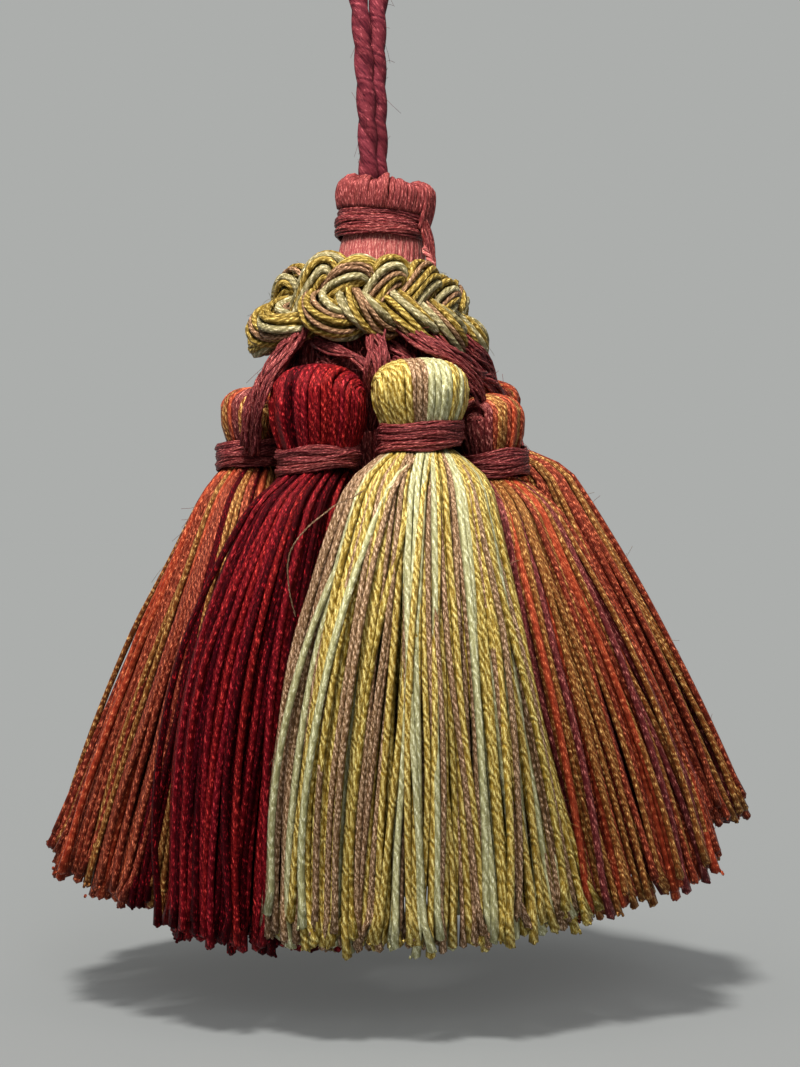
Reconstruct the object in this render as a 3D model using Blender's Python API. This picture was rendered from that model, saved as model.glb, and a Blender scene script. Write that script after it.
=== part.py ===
"""A key tassel: eight small tassels hung under a plaited gimp collar, on a loop of twisted cord.

Metres, +Z up, the front towards -Y and the right towards +X. The origin is the underside of the
loop's crown, where a hook bears, so the whole tassel hangs below it. Angles run round the tassel
in degrees, 0 at the front and 90 at +X.
"""

import math
from collections import namedtuple

import bmesh
import bpy
from mathutils import Vector

MM = 0.001
GAP = 0.3 * MM

# The hanging loop is one two-ply cord, doubled. Its route runs up the front leg, over the crown
# and down the back leg, in millimetres.
CORD_DIAMETER = 2.3 * MM
CORD_STEP = 2.0 * CORD_DIAMETER
CORD_ROUTE_MM = (
    (0.02, -1.10, -34.70),
    (-0.05, -1.05, -31.00),
    (-0.20, -1.00, -27.00),
    (-0.42, -0.92, -23.00),
    (-0.68, -0.82, -19.00),
    (-1.05, -0.66, -15.40),
    (-1.75, -0.46, -12.40),
    (-2.95, -0.26, -9.40),
    (-4.15, -0.12, -6.60),
    (-4.75, -0.04, -3.80),
    (-4.15, 0.00, -1.15),
    (-2.35, 0.00, 0.70),
    (0.00, 0.00, 1.15),
    (2.35, 0.00, 0.70),
    (4.15, 0.00, -1.15),
    (4.75, 0.04, -3.80),
    (4.15, 0.12, -6.60),
    (2.95, 0.26, -9.40),
    (1.78, 0.46, -12.40),
    (1.15, 0.66, -15.40),
    (0.98, 0.82, -19.00),
    (1.00, 0.92, -23.00),
    (1.08, 1.00, -27.00),
    (1.15, 1.05, -31.00),
    (1.18, 1.10, -34.90),
)

# The head: a rolled heading, tipped down to the right, bound round its waist.
HEAD_CENTRE = Vector((2.1, 0.0, 0.0)) * MM
HEAD_TIP = math.radians(6.0)
HEAD_TOP = -35.5 * MM
CAP_RADIUS = 5.75 * MM
CAP_HEIGHT = 4.6 * MM
CAP_ROUNDING = 1.3 * MM
WAIST_RADIUS = 4.5 * MM
HEAD_BINDING_RADIUS = 5.3 * MM
HEAD_BINDING_HEIGHT = 3.2 * MM
HEAD_BINDING_TURNS = 3
HEAD_SIDES = 28

# The bell: radius against height above its foot, up to the binding. It leans as the head does.
BELL_CENTRE = Vector((0.3, 0.0, 0.0)) * MM
BELL_FOOT = -57.0 * MM
BellRow = namedtuple("BellRow", "height radius")
BELL_MM = (
    BellRow(13.1, 4.30),
    BellRow(11.4, 4.45),
    BellRow(9.3, 4.75),
    BellRow(7.2, 5.40),
    BellRow(5.2, 6.40),
    BellRow(3.6, 7.60),
    BellRow(2.2, 8.60),
    BellRow(0.9, 8.80),
    BellRow(0.0, 8.50),
)
BELL_SIDES = 24

# The collar: a plait that leans out over the bell, its loops scalloping both edges.
COLLAR_CENTRE = Vector((0.3, 0.0, 0.0)) * MM
COLLAR_TOP_RADIUS = 8.0 * MM
COLLAR_TOP_Z = -46.6 * MM
COLLAR_FOOT_RADIUS = 12.1 * MM
COLLAR_FOOT_Z = -53.8 * MM
COLLAR_THICKNESS = 3.0 * MM
COLLAR_LOOPS = 15
COLLAR_SCALLOP = 0.7 * MM
COLLAR_TIP = math.radians(4.5)
COLLAR_STEPS = 5 * COLLAR_LOOPS

# The small tassels: where each hangs, its heights, the length of its yarns at the left and the
# right of its skirt, and how they fall. The shoulder is the share of the spread taken up just
# below the binding. A fan of 1 spreads the rest evenly, and a larger one spreads it higher up.
RING_CENTRE = Vector((1.4, 0.0, 0.0)) * MM
Small = namedtuple(
    "Small", "yarn angle ring head_top tie_top tie_foot head_half left_yarn right_yarn shoulder fan"
)
SMALLS_MM = (
    Small("rust", -66.0, 15.5, -59.3, -65.9, -69.0, 5.00, 47.0, 50.5, 0.06, 1.05),
    Small("red", -25.0, 15.5, -57.9, -67.0, -70.1, 5.45, 49.5, 50.0, 0.14, 1.90),
    Small("gold", 15.6, 16.5, -57.4, -64.4, -68.4, 5.30, 52.3, 52.8, 0.15, 1.90),
    Small("rust", 54.0, 15.3, -60.3, -67.2, -70.4, 4.85, 49.0, 48.0, 0.10, 1.40),
    Small("rust", 112.0, 12.8, -58.3, -63.0, -66.1, 4.70, 51.0, 51.5, 0.18, 1.15),
    Small("red", 156.0, 15.5, -58.8, -66.2, -69.4, 5.10, 50.0, 50.0, 0.10, 1.50),
    Small("gold", 197.0, 15.8, -58.5, -65.5, -69.0, 5.00, 51.0, 51.0, 0.12, 1.80),
    Small("rust", 243.0, 15.5, -59.0, -66.0, -69.2, 5.00, 49.5, 49.0, 0.08, 1.30),
)
NECK_RADIUS = 3.8 * MM
BINDING_RADIUS = 4.8 * MM
BINDING_TURNS = 3
HeadRow = namedtuple("HeadRow", "down swell")
HEAD_ROWS = (
    HeadRow(0.00, 0.38),
    HeadRow(0.08, 0.66),
    HeadRow(0.23, 0.88),
    HeadRow(0.45, 1.00),
    HeadRow(0.72, 0.98),
    HeadRow(0.94, 0.88),
)
HEAD_DEPTH = 0.94
SKIRT_ROWS = 10
SHOULDER_FALL = 0.09
BUNDLE_SIDES = 14
BINDING_SIDES = 16

# The hem: an oval, wide from side to side, shared out between the skirts. Each edge row is the
# angle of the gap before that small tassel, at the outside and at the inside of the skirts.
HEM_CENTRE = Vector((3.1, 0.0, 0.0)) * MM
HEM_HALF_WIDTH = 40.4 * MM
HEM_HALF_DEPTH = 31.5 * MM
HEM_INNER_RADIUS = 13.0 * MM
HEM_WAVE = 0.6 * MM
HEM_WAVES = 19
Edge = namedtuple("Edge", "outer inner")
HEM_EDGES = (
    Edge(-100.0, -98.0),
    Edge(-47.0, -47.0),
    Edge(-33.0, -10.0),
    Edge(44.0, 31.0),
    Edge(74.0, 84.0),
    Edge(120.0, 132.0),
    Edge(164.0, 170.0),
    Edge(212.0, 214.0),
    Edge(260.0, 262.0),
)

# The threads that each small tassel hangs by.
THREADS_START_RADIUS = 7.0 * MM
THREADS_START_WIDTH = 1.7 * MM
THREADS_END_WIDTH = 2.6 * MM
THREADS_HALF_DEPTH = 0.8 * MM
THREADS_SIDES = 8

YARN_COLOURS = {
    "rust": (0.36, 0.085, 0.035),
    "red": (0.26, 0.006, 0.012),
    "gold": (0.47, 0.35, 0.10),
    "rose": (0.27, 0.042, 0.065),
    "pink": (0.45, 0.085, 0.105),
}


def clear_scene():
    for item in list(bpy.data.objects):
        bpy.data.objects.remove(item)


def yarn_material(name):
    found = bpy.data.materials.get(name)
    if found:
        return found
    made = bpy.data.materials.new(name)
    made.use_nodes = True
    shader = made.node_tree.nodes["Principled BSDF"]
    shader.inputs["Base Color"].default_value = (*YARN_COLOURS[name], 1.0)
    shader.inputs["Roughness"].default_value = 0.55
    shader.inputs["Metallic"].default_value = 0.0
    return made


def add_object(name, data, yarn):
    piece = bpy.data.objects.new(name, data)
    bpy.context.scene.collection.objects.link(piece)
    data.materials.append(yarn_material(yarn))
    return piece


def add_mesh(name, bm, yarn):
    bmesh.ops.recalc_face_normals(bm, faces=bm.faces)
    mesh = bpy.data.meshes.new(name)
    bm.to_mesh(mesh)
    bm.free()
    mesh.shade_smooth()
    mesh.set_sharp_from_angle(angle=math.radians(50.0))
    return add_object(name, mesh, yarn)


def ring_faces(bm, lower, upper):
    """The band of quads between two rings with as many points."""
    for i in range(len(lower)):
        after = (i + 1) % len(lower)
        bm.faces.new((lower[i], lower[after], upper[after], upper[i]))


def lofted(name, rings, yarn, closed=False):
    """A solid through these rings: a bar with two end faces or, if closed, a ring of its own."""
    bm = bmesh.new()
    rows = [[bm.verts.new(point) for point in ring] for ring in rings]
    for lower, upper in zip(rows, rows[1:]):
        ring_faces(bm, lower, upper)
    if closed:
        ring_faces(bm, rows[-1], rows[0])
    else:
        bm.faces.new(rows[0][::-1])
        bm.faces.new(rows[-1])
    return add_mesh(name, bm, yarn)


def turned(name, profile, sides, yarn):
    """A solid turned about Z from (radius, z) points that start and end on the axis."""
    bm = bmesh.new()
    line = [bm.verts.new((radius, 0.0, z)) for radius, z in profile]
    edges = [bm.edges.new(pair) for pair in zip(line, line[1:])]
    bmesh.ops.spin(
        bm, geom=line + edges, axis=(0, 0, 1), cent=(0, 0, 0), steps=sides, angle=math.tau
    )
    bmesh.ops.remove_doubles(bm, verts=bm.verts, dist=1e-6)
    return add_mesh(name, bm, yarn)


def wound_ring(name, inner, outer, height, turns, sides, yarn):
    """A ring of thread wound in turns one above another, centred on its own origin."""
    bead = height / (2 * turns)
    profile = [(inner, -height / 2), (inner, height / 2)]
    for turn in reversed(range(turns)):
        middle = (turn + 0.5) * 2 * bead - height / 2
        profile.append((outer - 0.35 * bead, middle + 0.8 * bead))
        profile.append((outer, middle))
    profile.append((outer - 0.35 * bead, -height / 2 + 0.2 * bead))
    rings = []
    for step in range(sides):
        angle = math.tau * step / sides
        out = Vector((math.cos(angle), math.sin(angle), 0.0))
        rings.append([out * radius + Vector((0.0, 0.0, z)) for radius, z in profile])
    return lofted(name, rings, yarn, closed=True)


def round_the_tassel(centre, angle_deg, radius, z=0.0):
    angle = math.radians(angle_deg)
    return centre + Vector((radius * math.sin(angle), -radius * math.cos(angle), z))


def through(points, step):
    """Points about a step apart on the smooth curve that runs through these points."""
    places = [points[0]]
    for i in range(len(points) - 1):
        start, end = points[i], points[i + 1]
        before = points[max(i - 1, 0)]
        after = points[min(i + 2, len(points) - 1)]
        count = max(1, round((end - start).length / step))
        for j in range(1, count + 1):
            t = j / count
            bent = (end - before) * t + (2 * before - 5 * start + 4 * end - after) * t**2
            bent += (3 * (start - end) + after - before) * t**3
            places.append(start + 0.5 * bent)
    return places


def make_hanging_loop():
    places = through([Vector(point) * MM for point in CORD_ROUTE_MM], CORD_STEP)
    curve = bpy.data.curves.new("hanging_loop", "CURVE")
    curve.dimensions = "3D"
    curve.bevel_depth = CORD_DIAMETER / 2
    curve.bevel_resolution = 2
    curve.use_fill_caps = True
    spline = curve.splines.new("POLY")
    spline.points.add(len(places) - 1)
    for point, place in zip(spline.points, places):
        point.co = (*place, 1.0)
    add_object("hanging_loop", curve, "rose")


def make_head():
    foot = CAP_HEIGHT + HEAD_BINDING_HEIGHT
    profile = [(0.0, 0.0)]
    for step in range(4):
        turn = math.radians(90.0 * step / 3)
        out = CAP_RADIUS - CAP_ROUNDING * (1 - math.sin(turn))
        profile.append((out, -CAP_ROUNDING * (1 - math.cos(turn))))
    profile.append((CAP_RADIUS, -CAP_HEIGHT + CAP_ROUNDING))
    profile.append((CAP_RADIUS - 0.4 * CAP_ROUNDING, -CAP_HEIGHT + 0.3 * CAP_ROUNDING))
    profile.append((WAIST_RADIUS, -CAP_HEIGHT))
    profile.append((WAIST_RADIUS, -foot))
    profile.append((0.0, -foot))
    cap = turned("head_cap", profile, HEAD_SIDES, "rose")
    cap.location = HEAD_CENTRE + Vector((0.0, 0.0, HEAD_TOP))
    cap.rotation_euler = (0.0, HEAD_TIP, 0.0)

    binding = wound_ring(
        "head_binding",
        WAIST_RADIUS + GAP,
        HEAD_BINDING_RADIUS,
        HEAD_BINDING_HEIGHT - 2 * GAP,
        HEAD_BINDING_TURNS,
        HEAD_SIDES,
        "rose",
    )
    binding.parent = cap
    binding.location = (0.0, 0.0, -CAP_HEIGHT - HEAD_BINDING_HEIGHT / 2)


def make_bell():
    profile = [(0.0, BELL_MM[0].height * MM)]
    profile += [(row.radius * MM, row.height * MM) for row in BELL_MM]
    profile.append((0.0, 0.0))
    bell = turned("bell", profile, BELL_SIDES, "pink")
    bell.location = BELL_CENTRE + Vector((0.0, 0.0, BELL_FOOT))
    bell.rotation_euler = (0.0, HEAD_TIP, 0.0)


def make_collar():
    """An oval section that leans out from its top edge to its foot, carried round the bell."""
    lean = Vector((COLLAR_FOOT_RADIUS - COLLAR_TOP_RADIUS, 0.0, COLLAR_FOOT_Z - COLLAR_TOP_Z))
    along = lean.normalized()
    across = Vector((-along.z, 0.0, along.x))
    middle_radius = (COLLAR_TOP_RADIUS + COLLAR_FOOT_RADIUS) / 2
    middle_z = (COLLAR_TOP_Z + COLLAR_FOOT_Z) / 2
    half_height = (lean.length + COLLAR_THICKNESS) / 2
    rings = []
    for step in range(COLLAR_STEPS):
        round_angle = math.tau * step / COLLAR_STEPS
        # The strands swap sides, so one edge swells where the other draws in.
        swing = COLLAR_SCALLOP * math.cos(COLLAR_LOOPS * round_angle)
        ring = []
        for corner in range(8):
            turn = math.tau * (corner + 0.5) / 8
            down = math.sin(turn) * half_height + abs(math.sin(turn)) * swing
            place = along * down + across * (math.cos(turn) * COLLAR_THICKNESS / 2)
            radius = middle_radius + place.x
            ring.append(
                Vector((radius * math.cos(round_angle), radius * math.sin(round_angle), place.z))
            )
        rings.append(ring)
    collar = lofted("collar", rings, "gold", closed=True)
    collar.location = COLLAR_CENTRE + Vector((0.0, 0.0, middle_z))
    collar.rotation_euler = (0.0, COLLAR_TIP, 0.0)


def squircle(turn, power=0.48):
    """A point of a rounded square of half-width 1."""
    across, out = math.cos(turn), math.sin(turn)
    return (
        math.copysign(abs(across) ** power, across),
        math.copysign(abs(out) ** power, out),
    )


def hem_point(index, across, out):
    """Where a yarn of this skirt ends, seen from above: across and out run from -1 to 1."""
    left, right = HEM_EDGES[index], HEM_EDGES[index + 1]
    depth = (out + 1) / 2
    start = left.inner + (left.outer - left.inner) * depth
    end = right.inner + (right.outer - right.inner) * depth
    angle = start + (end - start) * (across + 1) / 2
    turn = math.radians(angle)
    oval = math.hypot(math.sin(turn) / HEM_HALF_WIDTH, math.cos(turn) / HEM_HALF_DEPTH)
    outer = 1 / oval + HEM_WAVE * math.sin(HEM_WAVES * turn)
    radius = HEM_INNER_RADIUS + (outer - HEM_INNER_RADIUS) * depth
    # Each skirt keeps half a gap from the edge that it shares with its neighbour.
    inset = math.degrees(1.2 * GAP / radius) * across
    return round_the_tassel(HEM_CENTRE, angle - inset, radius)


def spread_at(small, fall):
    """How far a skirt has opened, from 0 at the neck to 1 at the hem."""
    shoulder = small.shoulder * math.sin(math.pi / 2 * min(1.0, fall / SHOULDER_FALL))
    return shoulder + (1 - small.shoulder) * (1 - (1 - fall) ** small.fan)


def skirt_ring(index, small, neck, fall, rise=0.0):
    """The outline of a skirt at this share of its fall, from the neck at 0 to the hem at 1."""
    spread = spread_at(small, fall)
    outward = round_the_tassel(Vector(), small.angle, 1.0)
    sideways = round_the_tassel(Vector(), small.angle + 90.0, 1.0)
    ring = []
    for side in range(BUNDLE_SIDES):
        turn = math.tau * side / BUNDLE_SIDES
        across, out = squircle(turn)
        top = neck + (sideways * math.cos(turn) + outward * math.sin(turn)) * NECK_RADIUS
        hem = hem_point(index, across, out)
        length = MM * (small.left_yarn + (small.right_yarn - small.left_yarn) * (across + 1) / 2)
        reach = Vector((hem.x - top.x, hem.y - top.y, 0.0))
        drop = math.sqrt(length**2 - reach.length_squared)
        ring.append(top + reach * spread + Vector((0.0, 0.0, rise - drop * fall)))
    return ring


def make_small_tassel(index, small):
    name = f"small_{index + 1}"
    hang = round_the_tassel(RING_CENTRE, small.angle, small.ring * MM)
    head_top, tie_top, tie_foot = small.head_top * MM, small.tie_top * MM, small.tie_foot * MM
    outward = round_the_tassel(Vector(), small.angle, 1.0)
    sideways = round_the_tassel(Vector(), small.angle + 90.0, 1.0)

    # The head: a barrel with a domed top, drawn in a little to the binding.
    rings = []
    for row in HEAD_ROWS:
        z = head_top + (tie_top - head_top) * row.down
        ring = []
        for side in range(BUNDLE_SIDES):
            turn = math.tau * side / BUNDLE_SIDES
            place = sideways * math.cos(turn) + outward * HEAD_DEPTH * math.sin(turn)
            ring.append(hang + place * row.swell * small.head_half * MM + Vector((0.0, 0.0, z)))
        rings.append(ring)

    # The neck runs through the binding, and the skirt falls from its foot to the hem.
    neck = hang + Vector((0.0, 0.0, tie_foot))
    rings.append(skirt_ring(index, small, neck, 0.0, rise=tie_top - tie_foot))
    for row in range(SKIRT_ROWS + 1):
        fall = (row / SKIRT_ROWS) ** 1.4
        rings.append(skirt_ring(index, small, neck, fall))
    lofted(f"{name}_yarns", rings[::-1], small.yarn)

    binding = wound_ring(
        f"{name}_binding",
        NECK_RADIUS + 1.35 * GAP,
        BINDING_RADIUS,
        tie_top - tie_foot - 2 * GAP,
        BINDING_TURNS,
        BINDING_SIDES,
        "rose",
    )
    binding.location = hang + Vector((0.0, 0.0, (tie_top + tie_foot) / 2))

    # The hanging threads run from under the rim of the bell to the near side of the head.
    lean = math.sin(math.radians(small.angle)) * math.sin(HEAD_TIP) * THREADS_START_RADIUS
    low = BELL_FOOT - lean - GAP - THREADS_HALF_DEPTH
    start = round_the_tassel(BELL_CENTRE, small.angle, THREADS_START_RADIUS, low)
    end = hang - outward * 0.8 * small.head_half * MM + Vector((0.0, 0.0, head_top - 1.2 * MM))
    thick = (end - start).normalized().cross(sideways) * THREADS_HALF_DEPTH
    rings = []
    for share in (0.0, 0.4, 0.8):
        half_width = THREADS_START_WIDTH + (THREADS_END_WIDTH - THREADS_START_WIDTH) * share
        ring = []
        for side in range(THREADS_SIDES):
            turn = math.tau * side / THREADS_SIDES
            place = sideways * half_width * math.cos(turn) + thick * math.sin(turn)
            ring.append(start.lerp(end, share) + place)
        rings.append(ring)
    lofted(f"{name}_threads", rings, "rose")


def main():
    clear_scene()
    make_hanging_loop()
    make_head()
    make_bell()
    make_collar()
    for index, small in enumerate(SMALLS_MM):
        make_small_tassel(index, small)
    bpy.context.view_layer.update()


main()
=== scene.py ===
import math
from collections import namedtuple

import bpy
import numpy as np
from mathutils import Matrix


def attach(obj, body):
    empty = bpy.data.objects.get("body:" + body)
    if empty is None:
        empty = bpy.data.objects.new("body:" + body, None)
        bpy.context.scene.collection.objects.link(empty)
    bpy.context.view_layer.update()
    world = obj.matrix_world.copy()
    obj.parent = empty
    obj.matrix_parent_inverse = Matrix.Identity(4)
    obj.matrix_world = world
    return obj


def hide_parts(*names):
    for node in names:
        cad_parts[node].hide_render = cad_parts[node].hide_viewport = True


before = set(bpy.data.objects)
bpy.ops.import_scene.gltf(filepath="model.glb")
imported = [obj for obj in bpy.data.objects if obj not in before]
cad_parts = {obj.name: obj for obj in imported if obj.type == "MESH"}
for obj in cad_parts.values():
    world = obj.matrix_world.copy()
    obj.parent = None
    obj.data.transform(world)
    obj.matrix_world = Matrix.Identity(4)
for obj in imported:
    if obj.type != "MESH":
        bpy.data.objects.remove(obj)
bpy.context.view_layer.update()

# ---- The camera ------------------------------------------------------------------------------
# A long lens, level with the middle of the tassel and square to its front, close enough for the
# skirts to fill the width. The hanging loop runs up out of the top of the view.

MM = 0.001
CAMERA_PLACE = np.array((3.68, -250.0, -76.35)) * MM
CAMERA_LENS = 73.35

lens = bpy.data.cameras.new("camera")
lens.lens = CAMERA_LENS
lens.sensor_width = 36.0
lens.clip_start = 10 * MM
lens.clip_end = 50.0
camera = bpy.data.objects.new("camera", lens)
camera.location = CAMERA_PLACE
camera.rotation_euler = (math.radians(90.0), 0.0, 0.0)
bpy.context.scene.collection.objects.link(camera)
bpy.context.scene.camera = camera


# ---- The hanging loop ------------------------------------------------------------------------
# A soft rayon cord of two thick plies, twisted S, so its strokes lean like a backslash. One
# length is doubled: it rises out of the heading, turns over at the crown and goes back down.

CORD_LAY = 8.4 * MM
PLY_RADIUS = 0.92 * MM
PLY_OFFSET = 0.23 * MM
CORD_HAIRS = 160
FIBRE_RADIUS = 0.02 * MM
FIBRE_LENGTH_MM = (0.6, 2.0)
FRONT = (0.0, -1.0, 0.0)
# How far the rounded end of a strand stands out, in its radii.
END_BULGE = 0.6
# The places that the cord runs through, from its end in the heading up, over the crown and back.
CORD_ROUTE_MM = (
    (0.08, -0.65, -37.20), (0.02, -0.64, -34.70), (-0.05, -0.61, -31.00), (-0.20, -0.58, -27.00),
    (-0.42, -0.53, -23.00), (-0.68, -0.53, -19.00), (-1.05, -0.51, -15.40), (-1.75, -0.41, -12.40),
    (-2.95, -0.26, -9.40), (-4.15, -0.12, -6.60), (-4.75, -0.04, -3.80), (-4.15, 0.00, -1.15),
    (-2.35, 0.00, 0.70), (0.00, 0.00, 1.15), (2.35, 0.00, 0.70), (4.15, 0.00, -1.15),
    (4.75, 0.04, -3.80), (4.15, 0.12, -6.60), (2.95, 0.26, -9.40), (1.78, 0.41, -12.40),
    (1.15, 0.51, -15.40), (0.98, 0.53, -19.00), (1.00, 0.53, -23.00), (1.08, 0.58, -27.00),
    (1.15, 0.61, -31.00), (1.18, 0.64, -34.90), (1.20, 0.65, -37.40),
)


def through(places_mm, step_mm, count=None):
    """Points about a step apart on the smooth curve through these places, or a count of points."""
    points = np.array(places_mm) * MM
    step = step_mm * MM
    places = [points[0]]
    for i in range(len(points) - 1):
        start, end = points[i], points[i + 1]
        before = points[max(i - 1, 0)]
        after = points[min(i + 2, len(points) - 1)]
        parts = max(1, round(float(np.linalg.norm(end - start)) / step))
        for j in range(1, parts + 1):
            t = j / parts
            bent = (end - before) * t + (2 * before - 5 * start + 4 * end - after) * t**2
            bent = bent + (3 * (start - end) + after - before) * t**3
            places.append(start + 0.5 * bent)
    places = np.array(places)
    if count is None:
        return places
    at = np.linspace(0.0, 1.0, count) * (len(places) - 1)
    return np.array([np.interp(at, np.arange(len(places)), column) for column in places.T]).T


def unit(vectors):
    """The same vectors, each of length 1."""
    return vectors / np.linalg.norm(vectors, axis=-1, keepdims=True)


def carried_axes(paths):
    """Two directions square to each path, carried along it so that they don't spin."""
    tangents = unit(np.gradient(paths, axis=1))
    start = tangents[:, 0]
    steep = np.abs(start[:, 2:]) > 0.8
    normal = unit(np.cross(start, np.where(steep, (1.0, 0.0, 0.0), (0.0, 0.0, 1.0))))
    normals = np.empty_like(paths)
    for i in range(paths.shape[1]):
        along = tangents[:, i]
        normal = unit(normal - np.sum(normal * along, axis=1, keepdims=True) * along)
        normals[:, i] = normal
    return normals, np.cross(tangents, normals)


def run_along(paths):
    """The distance run along each path, from 0, in metres."""
    steps = np.linalg.norm(np.diff(paths, axis=1), axis=2)
    return np.concatenate([np.zeros((len(paths), 1)), np.cumsum(steps, axis=1)], axis=1)


def twisted(path, offset, lay):
    """The two plies that lie round a path, twisted S."""
    normals, others = carried_axes(path[None])
    turns = -run_along(path[None]) / lay
    made = []
    for start in (0.0, 0.5):
        angle = (math.tau * (turns + start))[..., None]
        made.append(path + offset * (normals * np.cos(angle) + others * np.sin(angle)))
    return np.concatenate(made)


def strands(name, paths, faces, radii, sides, materials, choice=None, seed=0):
    """A piece of round strands with rounded ends, one for each path.

    Paths and faces are (strands, points, 3) and radii (strands, points), in metres. A face is
    the way that the strand's outer side looks; the yarn material paints the flanks away from it
    with shade. The map "strand" holds the millimetres run along a strand, and the strand's number
    plus the share of a turn round it, which is a half at its face. The map "OFBake" lays each
    strand out as a strip of its own.
    """
    count, length = paths.shape[:2]
    radii = np.broadcast_to(radii, (count, length))
    tangents = unit(np.gradient(paths, axis=1))
    faces = np.broadcast_to(faces, paths.shape)
    normals = unit(faces - np.sum(faces * tangents, axis=2, keepdims=True) * tangents)
    others = np.cross(tangents, normals)
    turn = math.tau * (np.arange(sides) / sides - 0.5)
    ring = normals[:, :, None] * np.cos(turn)[:, None] + others[:, :, None] * np.sin(turn)[:, None]
    rings = paths[:, :, None] + radii[..., None, None] * ring
    first = paths[:, 0] + END_BULGE * radii[:, :1] * unit(paths[:, 0] - paths[:, 1])
    last = paths[:, -1] + END_BULGE * radii[:, -1:] * unit(paths[:, -1] - paths[:, -2])
    points = np.concatenate([rings.reshape(-1, 3), first, last])

    # The walls of each strand, then the fans that close its start and its end.
    each = np.arange(count)
    strand, step, side = np.meshgrid(each, np.arange(length - 1), np.arange(sides), indexing="ij")
    row = (strand * length + step) * sides
    low, high = row + side, row + (side + 1) % sides
    walls = np.stack([low, high, high + sides, low + sides], axis=-1)
    tip = count * length * sides + strand[:, 0]
    starts = np.stack([high[:, 0], low[:, 0], tip], axis=-1)
    ends = np.stack([low[:, -1] + sides, high[:, -1] + sides, tip + count], axis=-1)
    mesh = bpy.data.meshes.new(name)
    fans = starts.reshape(-1, 3).tolist() + ends.reshape(-1, 3).tolist()
    mesh.from_pydata(points.tolist(), [], walls.reshape(-1, 4).tolist() + fans)

    # Each point's strand and the distance run to it, and each corner's share of a turn.
    owner = np.concatenate([np.repeat(each, length * sides), each, each])
    run = run_along(paths)
    reach = np.concatenate(
        [np.repeat(run, sides), -END_BULGE * radii[:, 0], run[:, -1] + END_BULGE * radii[:, -1]]
    )
    corner = np.concatenate([walls.ravel(), starts.ravel(), ends.ravel()])
    number, distance = owner[corner], reach[corner]
    side_end = side[:, 0]
    around = np.concatenate([
        np.stack([side, side + 1, side + 1, side], axis=-1).ravel(),
        np.stack([side_end + 1, side_end, side_end + 0.5], axis=-1).ravel(),
        np.stack([side_end, side_end + 1, side_end + 0.5], axis=-1).ravel(),
    ]) / sides
    shift = np.random.default_rng(seed).uniform(0.0, 40.0, count)
    places = np.stack([distance / MM + shift[number], number + 0.001 + 0.998 * around], axis=-1)
    mesh.uv_layers.new(name="strand").data.foreach_set("uv", places.astype(np.float32).ravel())
    columns = 1 if count < 24 else 3
    rows = math.ceil(count / columns)
    end_room = 1.5 * radii.max()
    share_along = (distance + end_room) / (run.max() + 2 * end_room)
    across_sheet = (number // rows + 0.01 + 0.98 * share_along) / columns
    up_sheet = (number % rows + 0.06 + 0.88 * around) / rows
    places = np.stack([across_sheet, up_sheet], axis=-1)
    mesh.uv_layers.new(name="OFBake").data.foreach_set("uv", places.astype(np.float32).ravel())

    for material in materials:
        mesh.materials.append(material)
    if choice is not None:
        first_corner = np.concatenate([kind[..., 0].ravel() for kind in (walls, starts, ends)])
        worn_here = np.asarray(choice)[owner[first_corner]]
        mesh.polygons.foreach_set("material_index", worn_here.astype(np.int32))
    mesh.shade_smooth()
    piece = bpy.data.objects.new(name, mesh)
    bpy.context.scene.collection.objects.link(piece)
    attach(piece, "root")
    return piece


def colour(hex_code):
    """The linear colour of an sRGB hex value."""
    parts = [int(hex_code[i : i + 2], 16) / 255 for i in (1, 3, 5)]
    linear = [p / 12.92 if p <= 0.04045 else ((p + 0.055) / 1.055) ** 2.4 for p in parts]
    return (*linear, 1.0)


def add(tree, kind, *sources, **settings):
    """Adds a node. Sources go to its inputs in order, as sockets or values, and None skips one."""
    made = tree.nodes.new("ShaderNode" + kind)
    for name, value in settings.items():
        if name in made.inputs:
            made.inputs[name].default_value = value
        else:
            setattr(made, name, value)
    for i, source in enumerate(sources):
        if isinstance(source, bpy.types.NodeSocket):
            tree.links.new(source, made.inputs[i])
        elif source is not None:
            made.inputs[i].default_value = source
    return made.outputs[0]


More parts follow.
